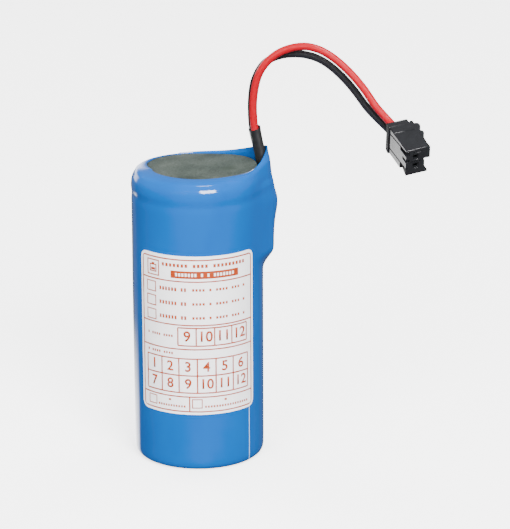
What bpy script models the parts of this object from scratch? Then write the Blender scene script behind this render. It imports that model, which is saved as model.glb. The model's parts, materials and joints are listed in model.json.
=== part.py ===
"""A one-cell lithium iron phosphate battery pack: a 32700 cell with its protection board
under a heat-shrink sleeve, two leads and a two-way plug.

Frame: metres, +Z up. The cell stands on its base, its axis is the Z axis and its base is at
Z = 0. The label faces -Y. The protection board sits at BOARD_AZIMUTH round from +X.
"""
from math import atan2, cos, exp, hypot, pi, radians, sin

import bmesh
import bpy
import numpy as np
from mathutils import Euler, Vector

MM = 0.001

# Driving dimensions, in millimetres
SEGMENTS = 48                    # facets round every coaxial piece
SLEEVE_RADIUS = 16.3             # outside of the heat-shrink sleeve
SLEEVE_WALL = 0.2
CAN_RADIUS = 16.05
CAN_WALL = 0.25
CAN_BOTTOM = 0.9
CAN_TOP = 71.3                   # top of the rolled crimp
CAP_TOP = 71.9                   # top of the positive boss
BOSS_RADIUS = 6.5
DISC_RADIUS = 14.9               # grey paper disc on the top
DISC_TOP = 73.4
DISC_THICKNESS = 0.8
LIP_HEIGHT = 74.1                # edge of the shrunk lip round the top disc
FLAP_HEIGHT = 78.2               # highest point of the sleeve, behind the leads
FLAP_RADIUS = 17.7
LABEL_HALF_ANGLE = 56.25         # the label's side edges, in degrees from its middle
STRIP_THICKNESS = 0.15
BOARD_AZIMUTH = 15.0             # degrees from +X towards +Y
BOARD_FACE = 17.7                # distance of the board's outer face from the cell's axis
BOARD_THICKNESS = 0.8
BOARD_HALF_WIDTH = 5.2
BOARD_BOTTOM = 52.6
BOARD_TOP = 64.4
LEAD_DIAMETER = 1.9
LEAD_SPACING = 2.06              # between the two leads where they run side by side
ROLL_HEIGHT = (3.2, 63.6)        # bottom and top of the wound electrodes
ROLL_TURNS = 3.15
ROLL_STEPS = 18                  # facets in one turn of the winding
FOIL_THICKNESS = 0.42
FOIL_GAP = 0.28

PLUG_REAR = (48.27, -13.0, 85.65)  # middle of the plug's rear face
PLUG_YAW = -67.4                 # degrees about Z, then the dip of the nose, then the roll
PLUG_DIP = 19.7
PLUG_ROLL = 7.6
PLUG_LENGTH = 11.9
PLUG_HALF_WIDTH = 2.5
PLUG_HALF_HEIGHT = 3.65
PLUG_FLANGE = 1.9
PLUG_PITCH = 2.5
CAVITY = 2.15
PIN_HOLE = 1.2
LATCH_AXIS = (9.9, 3.35)         # the lever's hinge, along the plug and out from its middle

# Routes of the two leads from the board to the plug, each point in millimetres
RED_ROUTE = [
    (18.43, 3.87, 63.4), (18.41, 3.87, 65.6), (17.74, 3.69, 67.8), (17.17, 3.53, 70.2),
    (16.60, 3.39, 72.8), (15.88, 3.35, 75.6), (15.00, 3.30, 79.4), (14.28, 3.25, 83.2),
    (14.00, 3.15, 86.6), (14.00, 3.05, 89.6), (14.32, 2.95, 92.6), (15.05, 2.8, 95.8),
    (16.35, 2.65, 98.5), (18.15, 2.5, 100.6), (20.6, 2.3, 102.4), (23.4, 2.0, 103.5),
    (26.4, 1.4, 104.0), (29.8, 0.5, 103.5), (33.3, -0.8, 101.8), (36.7, -2.5, 99.2),
    (39.3, -4.2, 96.7), (41.6, -6.1, 94.0), (43.6, -8.2, 91.4),
]
BLACK_ROUTE = [
    (17.90, 5.87, 63.4), (17.88, 5.87, 65.6), (17.21, 5.69, 67.8), (16.64, 5.53, 70.2),
    (16.07, 5.39, 72.8), (15.36, 5.35, 75.6), (14.48, 5.3, 79.4), (13.80, 5.25, 83.0),
    (13.57, 5.2, 86.2), (13.58, 5.15, 89.2), (13.80, 5.1, 92.0), (14.38, 5.05, 94.8),
    (15.5, 4.95, 97.3), (16.9, 4.9, 99.1), (18.7, 4.8, 100.3), (20.9, 4.5, 101.1),
    (23.4, 4.1, 101.5), (26.5, 3.4, 101.5), (29.9, 2.4, 100.7), (33.3, 1.0, 98.8),
    (36.6, -0.9, 96.0), (39.4, -3.2, 93.0), (41.8, -5.7, 90.2),
]


def clear_scene():
    """Remove every object of the open scene."""
    for item in list(bpy.data.objects):
        bpy.data.objects.remove(item, do_unlink=True)


def finish(name, mesh, colour, roughness, metallic, parent=None):
    """Link a mesh as one named sub-part with its own material."""
    material = bpy.data.materials.new(name + "_finish")
    material.use_nodes = True
    shader = material.node_tree.nodes["Principled BSDF"]
    shader.inputs["Base Color"].default_value = (*colour, 1.0)
    shader.inputs["Roughness"].default_value = roughness
    shader.inputs["Metallic"].default_value = metallic
    mesh.materials.append(material)
    piece = bpy.data.objects.new(name, mesh)
    bpy.context.scene.collection.objects.link(piece)
    piece.parent = parent
    return piece


def mesh_from(bm, name, smooth_angle=35.0):
    """Turn an edited mesh into mesh data, faces out, round stretches shaded smooth."""
    bmesh.ops.remove_doubles(bm, verts=bm.verts, dist=0.000001)
    bmesh.ops.dissolve_degenerate(bm, dist=0.0000005, edges=bm.edges)
    bmesh.ops.recalc_face_normals(bm, faces=bm.faces)
    mesh = bpy.data.meshes.new(name)
    bm.to_mesh(mesh)
    bm.free()
    mesh.shade_smooth()
    mesh.set_sharp_from_angle(angle=radians(smooth_angle))
    return mesh


def turned(name, outline, finish_values, segments=SEGMENTS):
    """Spin a closed (radius, height) outline round the cell's axis."""
    bm = bmesh.new()
    ring = [bm.verts.new((radius * MM, 0.0, height * MM)) for radius, height in outline]
    edges = [bm.edges.new((ring[i], ring[(i + 1) % len(ring)])) for i in range(len(ring))]
    bmesh.ops.spin(bm, geom=ring + edges, cent=(0, 0, 0), axis=(0, 0, 1), dvec=(0, 0, 0),
                   angle=2 * pi, steps=segments, use_merge=True, use_duplicate=False)
    return finish(name, mesh_from(bm, name), *finish_values)


def grid_body(name, rows, finish_values, closed_columns, parent=None):
    """Close a tube-like body: each row is a closed ring of points, joined to the next row."""
    bm = bmesh.new()
    rings = [[bm.verts.new(Vector(point) * MM) for point in row] for row in rows]
    pairs = list(zip(rings, rings[1:]))
    if closed_columns:
        pairs.append((rings[-1], rings[0]))
    for lower, upper in pairs:
        for i in range(len(lower)):
            j = (i + 1) % len(lower)
            bm.faces.new((lower[i], lower[j], upper[j], upper[i]))
    if not closed_columns:
        bm.faces.new(rings[0])
        bm.faces.new(rings[-1])
    return finish(name, mesh_from(bm, name), *finish_values, parent=parent)


def block(name, low, high, finish_values, parent=None, bevel=0.0):
    """A rectangular piece between two corners, with its edges bevelled."""
    bm = bmesh.new()
    bmesh.ops.create_cube(bm, size=1.0)
    for vert in bm.verts:
        vert.co = Vector([(low[k] + (vert.co[k] + 0.5) * (high[k] - low[k])) * MM for k in range(3)])
    if bevel:
        bmesh.ops.bevel(bm, geom=bm.edges[:], offset=bevel * MM, segments=1, affect="EDGES")
    return finish(name, mesh_from(bm, name, 20.0), *finish_values, parent=parent)


def extruded(name, outline, axis, low, high, finish_values, parent=None, origin=(0, 0)):
    """Extrude a flat closed outline along axis (1 is across the plug, 2 is up)."""
    bm = bmesh.new()
    others = [k for k in range(3) if k != axis]
    verts = []
    for point in outline:
        place = [0.0, 0.0, 0.0]
        place[axis] = low
        for k, value, start in zip(others, point, origin):
            place[k] = value - start
        verts.append(bm.verts.new(Vector(place) * MM))
    face = bm.faces.new(verts)
    raised = bmesh.ops.extrude_face_region(bm, geom=[face])
    travel = Vector((0.0, 0.0, 0.0))
    travel[axis] = (high - low) * MM
    moved = [item for item in raised["geom"] if isinstance(item, bmesh.types.BMVert)]
    bmesh.ops.translate(bm, verts=moved, vec=travel)
    return finish(name, mesh_from(bm, name, 20.0), *finish_values, parent=parent)


def strip(path, thickness):
    """The closed outline of a bent strip that follows a path of its middle line."""
    points = [Vector(point) for point in path]
    left = []
    right = []
    for i, point in enumerate(points):
        before = (point - points[i - 1]).normalized() if i else None
        after = (points[i + 1] - point).normalized() if i + 1 < len(points) else None
        along = (before or after) + (after or before)
        side = Vector((-along.y, along.x)).normalized()
        edge = Vector((-(before or after).y, (before or after).x))
        reach = thickness / 2 / max(0.5, side.dot(edge))
        left.append(tuple(point + side * reach))
        right.append(tuple(point - side * reach))
    return left + right[::-1]


def cut(piece, cutters):
    """Cut pieces out of a sub-part, each cutter hidden and drawn as wire."""
    for cutter in cutters:
        cutter.hide_render = True
        cutter.display_type = "WIRE"
        modifier = piece.modifiers.new(cutter.name, "BOOLEAN")
        modifier.object = cutter
        modifier.operation = "DIFFERENCE"


def cutter_block(name, low, high, parent=None):
    """A plain block used as a cutter."""
    return block(name, low, high, ((1.0, 0.0, 1.0), 0.5, 0.0), parent=parent)


# ---------------------------------------------------------------- the cell

STEEL = ((0.62, 0.63, 0.64), 0.32, 1.0)
NICKEL = ((0.70, 0.69, 0.66), 0.28, 1.0)
PAPER = ((0.19, 0.23, 0.20), 0.9, 0.0)
TAPE = ((0.75, 0.70, 0.45), 0.4, 0.0)
PLASTIC_WHITE = ((0.85, 0.85, 0.82), 0.45, 0.0)


def make_can():
    """The drawn steel can, with its beaded groove and its rolled crimp."""
    r = CAN_RADIUS
    w = CAN_WALL
    b = CAN_BOTTOM
    t = CAN_TOP
    turned("can", [
        (0, b), (r - 1.15, b), (r - 0.35, b + 0.35), (r, b + 1.2), (r, t - 5.7), (r - 0.85, t - 5.0),
        (r - 0.85, t - 4.4), (r, t - 3.7), (r, t - 0.7), (r - 0.45, t - 0.1), (r - 2.65, t),
        (r - 2.65, t - w), (r - 0.6, t - w - 0.1), (r - w, t - w - 0.55), (r - w, t - 3.55),
        (r - w - 0.85, t - 4.25), (r - w - 0.85, t - 5.15), (r - w, t - 5.9), (r - w, b + 1.3),
        (r - 0.55, b + 0.55), (r - 1.25, b + w), (0, b + w)], STEEL)


def make_header():
    """The pieces that the crimp holds: gasket, tab plate, ring, vent disc and cap."""
    turned("crimp_gasket", [
        (13.0, 67.2), (14.9, 67.2), (15.7, 67.95), (15.7, 70.4), (15.35, 70.85), (13.5, 70.95),
        (13.5, 70.2), (14.9, 70.1), (14.9, 68.15), (13.0, 68.1)], PLASTIC_WHITE)
    turned("tab_plate", [
        (0, 68.25), (14.7, 68.25), (14.7, 68.5), (3.0, 68.5), (2.2, 68.62), (0, 68.62)], STEEL, SEGMENTS // 2)
    turned("vent_insulator_ring", [
        (10.0, 68.55), (14.7, 68.55), (14.7, 68.8), (10.0, 68.8)], PLASTIC_WHITE, SEGMENTS // 2)
    turned("vent_disc", [
        (0, 68.75), (2.5, 68.75), (4.0, 68.87), (14.7, 68.87), (14.7, 69.1), (4.0, 69.1),
        (2.5, 68.98), (0, 68.98)], STEEL, SEGMENTS // 2)
    cap = turned("top_cap", [
        (0, CAP_TOP - 0.45), (BOSS_RADIUS - 0.65, CAP_TOP - 0.45), (BOSS_RADIUS - 0.3, CAP_TOP - 0.9),
        (BOSS_RADIUS + 0.2, 69.7), (BOSS_RADIUS + 1.2, 69.2), (14.7, 69.2), (14.7, 69.7),
        (BOSS_RADIUS + 1.5, 69.7), (BOSS_RADIUS + 0.7, 70.1), (BOSS_RADIUS, CAP_TOP - 0.5),
        (BOSS_RADIUS - 0.5, CAP_TOP), (0, CAP_TOP)], NICKEL, SEGMENTS // 2)
    windows = []
    for k in range(4):
        angle = radians(45 + 90 * k)
        window = cutter_block("cap_window_%d" % (k + 1), (-1.4, -0.9, -0.45), (1.4, 0.9, 0.45))
        window.location = Vector(((BOSS_RADIUS + 0.3) * cos(angle), (BOSS_RADIUS + 0.3) * sin(angle),
                                  70.55)) * MM
        window.rotation_euler = (0, 0, angle)
        windows.append(window)
    cut(cap, windows)


def spiral(name, first_radius, colour, metallic):
    """One wound layer of the roll, a band that follows a spiral."""
    pitch = 4 * (FOIL_THICKNESS + FOIL_GAP)
    steps = int(ROLL_TURNS * ROLL_STEPS)
    rows = []
    for step in range(steps + 1):
        angle = 2 * pi * step / ROLL_STEPS
        inner = first_radius + pitch * step / ROLL_STEPS
        row = []
        for radius, height in ((inner, ROLL_HEIGHT[0]), (inner + FOIL_THICKNESS, ROLL_HEIGHT[0]),
                               (inner + FOIL_THICKNESS, ROLL_HEIGHT[1]), (inner, ROLL_HEIGHT[1])):
            row.append((radius * cos(angle), radius * sin(angle), height))
        rows.append(row)
    grid_body(name, rows, (colour, 0.5, metallic), closed_columns=False)


def make_roll():
    """The wound electrodes, their core, tape, insulators and tabs."""
    names = (("cathode_foil", (0.05, 0.05, 0.055), 0.2), ("separator_inner", (0.9, 0.9, 0.88), 0.0),
             ("anode_foil", (0.16, 0.13, 0.12), 0.3), ("separator_outer", (0.9, 0.9, 0.88), 0.0))
    for layer, (name, colour, metallic) in enumerate(names):
        spiral(name, 3.8 + layer * (FOIL_THICKNESS + FOIL_GAP), colour, metallic)
    low, high = ROLL_HEIGHT
    turned("centre_pin", [(1.7, low), (2.2, low), (2.2, high), (1.7, high)], STEEL, SEGMENTS // 3)
    turned("winding_tape", [(15.4, low), (15.55, low), (15.55, high), (15.4, high)], TAPE, SEGMENTS // 2)
    turned("lower_insulator", [(2.2, 1.75), (12.4, 1.75), (12.4, 2.0), (2.2, 2.0)], PLASTIC_WHITE,
           SEGMENTS // 2)
    turned("upper_insulator", [(3.8, 64.4), (14.6, 64.4), (14.6, 64.7), (3.8, 64.7)], PLASTIC_WHITE,
           SEGMENTS // 2)
    for name, path, half, values in (
            ("cathode_tab", [(3.0, 58.0), (3.0, 67.7), (3.4, 68.05), (9.0, 68.05)], 1.3,
             ((0.75, 0.76, 0.78), 0.3, 1.0)),
            ("anode_tab", [(0.5, 1.35), (12.7, 1.35), (13.0, 1.65), (13.0, 2.95)], 2.0, NICKEL)):
        extruded(name, strip(path, STRIP_THICKNESS), 1, -half, half, values)


# ---------------------------------------------------------------- the pack round the cell

def make_insulation():
    """Paper discs and the paper ring over the crimp."""
    turned("bottom_disc", [
        (0, 0), (11.2, 0), (11.35, 0.3), (15.0, 0.3), (15.0, 0.6), (11.1, 0.6), (10.9, 0.3), (0, 0.3)],
        PAPER)
    turned("terminal_washer", [(7.4, 71.45), (15.5, 71.45), (15.5, 71.65), (7.4, 71.65)], PAPER, SEGMENTS // 2)
    disc = turned("top_disc", [
        (0, DISC_TOP - DISC_THICKNESS), (DISC_RADIUS, DISC_TOP - DISC_THICKNESS),
        (DISC_RADIUS, DISC_TOP), (0, DISC_TOP)], PAPER)
    notch = cutter_block("lead_notch", (14.3, -6.0, 70.0), (18.0, 6.0, 76.0))
    notch.rotation_euler = (0, 0, radians(BOARD_AZIMUTH))
    cut(disc, [notch])


def on_heights(height, table):
    """Read a smooth value between the (height, value) pairs of a short table."""
    heights = [pair[0] for pair in table]
    values = [pair[1] for pair in table]
    return float(np.interp(height, heights, values))


# How far the film stands from the axis over the leads and joints, and at the board's edges
BUMP_REACH = [(47.2, 16.3), (52.3, 19.0), (57.0, 19.1), (60.0, 19.4), (63.4, 20.1), (65.6, 20.1),
              (67.8, 19.4), (70.2, 18.95), (72.5, 18.6), (74.0, 18.4), (76.0, 18.1), (78.2, 17.7)]
EDGE_REACH = [(47.2, 16.3), (52.3, 18.2), (65.6, 18.2), (69.0, 17.5), (78.2, 17.2)]
BUMP_HALF_WIDTH = 2.7


def film_radius(angle, height):
    """The sleeve's outer radius: a round tube pulled tight over the board and the leads."""
    off = (angle - BOARD_AZIMUTH + 180.0) % 360.0 - 180.0
    radius = SLEEVE_RADIUS
    if abs(off) < 15.0:
        radius += 0.22 * min(1.0, (15.0 - abs(off)) / 7.0)      # the strip up the can's side
    if height <= BUMP_REACH[0][0]:
        return radius
    bump = on_heights(height, BUMP_REACH)
    edge = on_heights(height, EDGE_REACH)
    share = min(1.0, (height - 47.2) / 5.1)
    corner = (edge, BOARD_HALF_WIDTH * share)
    reach = hypot(*corner)
    tangent = atan2(corner[1], corner[0]) + np.arccos(min(1.0, SLEEVE_RADIUS / reach))
    outline = [(bump, 0.0), (bump, BUMP_HALF_WIDTH * share), corner,
               (SLEEVE_RADIUS * cos(tangent), SLEEVE_RADIUS * sin(tangent))]
    ray = (cos(radians(abs(off))), sin(radians(abs(off))))
    for (x0, y0), (x1, y1) in zip(outline, outline[1:]):
        across = (x1 - x0) * ray[1] - (y1 - y0) * ray[0]
        if abs(across) < 1e-9:
            continue
        along = (y0 * ray[0] - x0 * ray[1]) / across
        meet = (x0 + along * (x1 - x0), y0 + along * (y1 - y0))
        ahead = meet[0] * ray[0] + meet[1] * ray[1] > 0
        if ahead and -1e-6 <= along <= 1.0 + 1e-6:
            radius = max(radius, hypot(*meet))
    return radius


def lip_edge(angle):
    """Radius and height of the lip's cut edge: a teardrop that rises to the leads."""
    off = (angle - BOARD_AZIMUTH + 180.0) % 360.0 - 180.0
    turn = off if off > -100.0 else off + 360.0
    back = max(0.0, sin(radians(0.9 * (turn + 10.0)))) if -10.0 < turn < 190.0 else 0.0
    base = 10.9 + 3.5 * back
    radius = base + (FLAP_RADIUS - base) * exp(-(abs(off) / 40.0) ** 1.4)
    spread = 34.0 if off > 0 else 22.0
    height = LIP_HEIGHT + (FLAP_HEIGHT - LIP_HEIGHT) * exp(-(off / spread) ** 2)
    return radius, height


def sleeve_profile(angle):
    """The sleeve's outer line from the bottom lip, up the side, to the cut edge of the top lip."""
    off = (angle - BOARD_AZIMUTH + 180.0) % 360.0 - 180.0
    ridge = film_radius(angle, 1.9) - SLEEVE_RADIUS
    line = [(11.7, 0.0), (15.0, 0.0), (15.8 + ridge / 2, 0.3), (16.2 + ridge, 1.0)]
    for height in (1.9, 30.0, 47.2, 49.6, 52.3, 57.0, 60.0, 63.4, 65.6, 67.8, 70.2):
        line.append((film_radius(angle, height), height))
    flap = exp(-(abs(off) / 36.0) ** 2.0)
    edge_radius, edge_height = lip_edge(angle)
    shoulder = ((16.25, 71.6), (16.0, 72.7), (15.4, 73.6))
    for k, (radius, height) in enumerate(shoulder):
        raised = height + flap * (0.4 + 0.9 * k)
        wall = film_radius(angle, raised) - 0.05 * k
        line.append((radius + flap * (wall - radius), raised))
    last_radius, last_height = line[-1]
    line.append(((last_radius + edge_radius) / 2, (last_height + edge_height) / 2 + 0.12 * (1 - flap)))
    line.append((edge_radius, edge_height))
    return line


def inside_of(line, wall):
    """The line moved inwards by the wall's thickness."""
    moved = []
    for i, point in enumerate(line):
        before = Vector(line[max(0, i - 1)])
        after = Vector(line[min(len(line) - 1, i + 1)])
        along = (after - before).normalized()
        moved.append((point[0] - along.y * wall, point[1] + along.x * wall))
    return moved


def make_sleeve():
    """The blue heat-shrink sleeve, one closed shell open at both ends."""
    step = 360.0 / SEGMENTS
    angles = []
    for k in range(SEGMENTS):
        angle = k * step
        angles.append(angle)
        if angle < 60.0 or angle >= 330.0:
            angles.append(angle + step / 2)
    profiles = []
    for angle in angles:
        outer = sleeve_profile(angle)
        profiles.append(outer + inside_of(outer, SLEEVE_WALL)[::-1])
    rows = []
    for k in range(len(profiles[0])):
        rows.append([(line[k][0] * cos(radians(angle)), line[k][0] * sin(radians(angle)), line[k][1])
                     for angle, line in zip(angles, profiles)])
    grid_body("outer_sleeve", rows, ((0.04, 0.22, 0.56), 0.22, 0.0), closed_columns=True)


def make_label():
    """The paper label, a thin curved sheet stuck round the front of the sleeve."""
    inner = SLEEVE_RADIUS + 0.03
    outer = SLEEVE_RADIUS + 0.11
    low, high = 14.9, 55.9
    step = 360.0 / SEGMENTS
    rows = []
    for k in range(-8, 9):
        whole = abs(k) < 8
        turn = k * step if whole else k * (LABEL_HALF_ANGLE / 8)
        angle = radians(-90.0 + turn)
        flat = 1.0 if whole else cos(radians(step / 2))
        rows.append([(radius * flat * cos(angle), radius * flat * sin(angle), height)
                     for radius, height in ((inner, low), (outer, low), (outer, high), (inner, high))])
    grid_body("label", rows, ((0.86, 0.87, 0.90), 0.5, 0.0), closed_columns=False)


# ---------------------------------------------------------------- the protection board

def frame_empty(name, location, rotation, parent=None):
    """An empty that carries the pieces of one assembly."""
    empty = bpy.data.objects.new(name, None)
    bpy.context.scene.collection.objects.link(empty)
    empty.location = Vector(location) * MM
    empty.rotation_euler = Euler([radians(value) for value in rotation], "XYZ")
    empty.parent = parent
    return empty


def make_board():
    """The protection circuit at the can's side, its strips, insulator and components.

    In this assembly's frame X points out from the cell's axis and Y runs round the cell.
    """
    frame = frame_empty("board_frame", (0, 0, 0), (0, 0, BOARD_AZIMUTH))
    face = BOARD_FACE
    black = ((0.02, 0.02, 0.022), 0.35, 0.0)
    block("side_insulator", (16.3, -4.4, 51.3), (16.5, 4.4, 70.0), PAPER, frame)
    block("circuit_board", (face - BOARD_THICKNESS, -BOARD_HALF_WIDTH, BOARD_BOTTOM),
          (face, BOARD_HALF_WIDTH, BOARD_TOP), ((0.02, 0.22, 0.09), 0.4, 0.0), frame, bevel=0.05)
    block("mosfet", (face + 0.05, -1.5, 55.2), (face + 0.9, 1.5, 59.6), black, frame, bevel=0.12)
    block("protection_ic", (face + 0.05, 1.9, 55.0), (face + 0.7, 3.4, 57.9), black, frame, bevel=0.1)
    block("sense_resistor", (face + 0.05, -3.6, 57.6), (face + 0.45, -2.0, 58.5),
          ((0.03, 0.03, 0.03), 0.3, 0.0), frame, bevel=0.05)
    block("filter_capacitor", (face + 0.05, -3.6, 55.2), (face + 0.6, -2.0, 56.1),
          ((0.45, 0.32, 0.2), 0.4, 0.0), frame, bevel=0.05)
    for name, side in (("solder_joint_red", -1), ("solder_joint_black", 1)):
        middle = side * LEAD_SPACING / 2
        rows = []
        for rise, spread in ((0.05, 1.0), (0.4, 0.92), (0.8, 0.65), (1.1, 0.35)):
            rows.append([(face + rise, middle + 0.85 * spread * cos(2 * pi * k / 10),
                          61.5 + 1.35 * spread * sin(2 * pi * k / 10)) for k in range(10)])
        grid_body(name, rows, ((0.7, 0.7, 0.68), 0.3, 1.0), closed_columns=False, parent=frame)
    extruded("positive_strip", strip([(-3.0, 72.1), (16.72, 72.1), (16.72, 62.4)], STRIP_THICKNESS),
             1, -4.6, -2.2, NICKEL, frame)


def make_negative_strip():
    """The strip from the can's base, up its side and out to the board's lower end."""
    t = STRIP_THICKNESS
    bend = CAN_RADIUS + 0.06
    path = [(1.0, 0.75), (13.6, 0.74), (15.3, 0.76), (16.0, 1.4), (bend + t / 2, 2.3),
            (bend + t / 2, 47.4), (16.6, 49.0), (18.03, 51.9), (18.03, 54.4)]
    line = strip(path, t)
    wrap = radians(360.0 / SEGMENTS)
    rows = []
    for k in range(len(path)):
        rows.append([])
        for (radius, height), sides in ((line[k], (-1, 0, 1)), (line[-1 - k], (1, 0, -1))):
            for side in sides:
                if radius > 15.0:
                    rows[k].append((radius * cos(side * wrap), radius * sin(side * wrap), height))
                else:
                    rows[k].append((radius, side * 2.0, height))
    frame = bpy.data.objects["board_frame"]
    grid_body("negative_strip", rows, NICKEL, closed_columns=False, parent=frame)


# ---------------------------------------------------------------- leads and plug

def smooth_curve(points, spacing):
    """Evenly spaced points on a natural cubic curve through a route's points."""
    knots = np.array(points, dtype=float)
    gaps = np.linalg.norm(np.diff(knots, axis=0), axis=1)
    at = np.concatenate([[0.0], np.cumsum(gaps)])
    count = len(knots)
    matrix = np.eye(count)
    right = np.zeros((count, 3))
    for i in range(1, count - 1):
        matrix[i, i - 1] = gaps[i - 1]
        matrix[i, i] = 2 * (gaps[i - 1] + gaps[i])
        matrix[i, i + 1] = gaps[i]
        right[i] = 6 * ((knots[i + 1] - knots[i]) / gaps[i] - (knots[i] - knots[i - 1]) / gaps[i - 1])
    bend = np.linalg.solve(matrix, right)
    amount = int(round(at[-1] / spacing))
    curve = []
    for place in np.linspace(0.0, at[-1], amount + 1):
        i = min(int(np.searchsorted(at, place, side="right")) - 1, count - 2)
        a = at[i + 1] - place
        b = place - at[i]
        h = gaps[i]
        curve.append((bend[i] * a ** 3 + bend[i + 1] * b ** 3) / (6 * h)
                     + (knots[i] / h - bend[i] * h / 6) * a + (knots[i + 1] / h - bend[i + 1] * h / 6) * b)
    return curve


def plug_place(along, across, up):
    """A place in the plug's own frame, as a place in the cell's frame, in millimetres."""
    turn = Euler([radians(PLUG_ROLL), radians(PLUG_DIP), radians(PLUG_YAW)], "XYZ")
    return Vector(PLUG_REAR) + turn.to_matrix() @ Vector((along, across, up))


def lead_points(route, up):
    """A lead's whole route: the free run, then straight into its cavity in the plug."""
    ends = [tuple(plug_place(along, 0.0, up)) for along in (-2.2, 0.2, 1.4)]
    return route + ends


def make_lead(name, route, up, colour):
    """One insulated lead as a round tube along its route."""
    curve = bpy.data.curves.new(name, "CURVE")
    curve.dimensions = "3D"
    curve.bevel_depth = LEAD_DIAMETER / 2 * MM
    curve.bevel_resolution = 2
    curve.use_fill_caps = True
    places = smooth_curve(lead_points(route, up), 2 * LEAD_DIAMETER)
    spline = curve.splines.new("POLY")
    spline.points.add(len(places) - 1)
    for point, place in zip(spline.points, places):
        point.co = (place[0] * MM, place[1] * MM, place[2] * MM, 1.0)
    finish(name, curve, colour, 0.4, 0.0)


def make_lead_sleeve():
    """The short shrunk tube that holds both leads together where they come out."""
    red = smooth_curve(RED_ROUTE, 0.5)
    black = smooth_curve(BLACK_ROUTE, 0.5)
    outer = 0.5 * LEAD_DIAMETER + 0.42
    inner = 0.5 * LEAD_DIAMETER + 0.17
    outside = []
    inside = []
    for height in (73.9, 75.6, 77.3, 79.0, 80.8, 82.6):
        first = min(red, key=lambda place: abs(place[2] - height))
        second = min(black, key=lambda place: abs(place[2] - height))
        middle = (first + second) / 2
        across = Vector(second - first).normalized()
        side = across.cross(Vector((0, 0, 1))).normalized()
        for radius, rings in ((outer, outside), (inner, inside)):
            ring = []
            for k in range(16):
                angle = 2 * pi * (k + 0.5) / 16
                shift = LEAD_SPACING / 2 * (1 if cos(angle) > 0 else -1)
                place = Vector(middle) + across * (radius * cos(angle) + shift) + side * radius * sin(angle)
                ring.append(tuple(place))
            rings.append(ring)
    grid_body("lead_sleeve", outside + inside[::-1], ((0.02, 0.02, 0.022), 0.55, 0.0),
              closed_columns=True)


def make_plug():
    """The two-way plug: housing with two through cavities, latch lever and contacts."""
    frame = frame_empty("plug_frame", PLUG_REAR, (PLUG_ROLL, PLUG_DIP, PLUG_YAW))
    black = ((0.025, 0.027, 0.03), 0.35, 0.0)
    w = PLUG_HALF_WIDTH
    h = PLUG_HALF_HEIGHT
    length = PLUG_LENGTH
    low_side = 2.1                       # the latch side's face behind the lever
    outline = [(0, -w - 0.3), (PLUG_FLANGE, -w - 0.3), (PLUG_FLANGE, -w), (length, -w),
               (length, 3.75), (10.2, 3.75), (10.2, 3.1), (PLUG_FLANGE + 0.1, 3.1),
               (PLUG_FLANGE, w + 0.3), (0, w + 0.3)]
    housing = extruded("connector_housing", outline, 2, -h, h, black, frame)
    cutters = [
        cutter_block("lever_pocket", (-1, low_side, 0.35), (PLUG_FLANGE + 0.1, 6, 3.3), frame),
        cutter_block("lever_gap", (PLUG_FLANGE, low_side, 0.35), (10.15, 6, 5), frame),
        cutter_block("catch_gap", (PLUG_FLANGE, w, -2.7), (length + 1, 6, 0.36), frame),
    ]
    for name, side in (("upper", 1), ("lower", -1)):
        z = side * PLUG_PITCH / 2
        c = CAVITY / 2
        p = PIN_HOLE / 2
        cutters.append(cutter_block("cavity_" + name, (-1, -c, z - c), (length - 1.0, c, z + c), frame))
        cutters.append(cutter_block("pin_hole_" + name, (length - 2, -p, z - p), (length + 1, p, z + p),
                                    frame))
        cutters.append(cutter_block("lance_window_" + name, (8.1, -w - 1, z - 0.75), (10.2, 0, z + 0.75),
                                    frame))
    cut(housing, cutters)

    hinge = frame_empty("latch_hinge", (LATCH_AXIS[0], LATCH_AXIS[1], 0), (0, 0, 0), frame)
    lever = [(0.3, 3.0), (9.9, 3.0), (9.9, 3.75), (7.0, 4.0), (6.1, 4.4), (5.8, 4.9), (4.7, 4.9),
             (4.4, 4.5), (3.5, 4.5), (3.2, 5.1), (2.2, 5.1), (1.9, 4.5), (1.7, 3.7), (1.4, 3.6),
             (1.1, 3.95), (0.5, 3.95), (0.3, 3.6)]
    extruded("latch_lever", lever, 2, 0.65, 3.0, black, hinge, origin=LATCH_AXIS)

    for name, side in (("contact_positive", 1), ("contact_negative", -1)):
        z = side * PLUG_PITCH / 2
        rows = []
        for along, half in ((1.75, 0.62), (4.2, 0.62), (4.6, 0.45), (5.2, 0.45), (5.6, 0.82), (10.0, 0.82),
                            (10.0, 0.5), (7.0, 0.5)):
            rows.append([(along, across * half, z + up * half)
                         for across, up in ((-1, -1), (1, -1), (1, 1), (-1, 1))])
        grid_body(name, rows, ((0.75, 0.72, 0.62), 0.3, 1.0), closed_columns=False, parent=frame)


def main():
    clear_scene()
    make_can()
    make_header()
    make_roll()
    make_insulation()
    make_sleeve()
    make_label()
    make_board()
    make_negative_strip()
    make_lead("red_lead", RED_ROUTE, PLUG_PITCH / 2, (0.75, 0.05, 0.05))
    make_lead("black_lead", BLACK_ROUTE, -PLUG_PITCH / 2, (0.02, 0.02, 0.024))
    make_lead_sleeve()
    make_plug()


main()
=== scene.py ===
"""The looks of a one-cell battery pack: a cell in a blue shrunk sleeve with a printed label,
two leads and a two-way plug. Lengths are in metres unless a name ends in _MM."""
import json
from math import atan2, cos, degrees, exp, hypot, pi, radians, sin
import bmesh
import bpy
import numpy as np
from mathutils import Matrix, Vector


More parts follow.
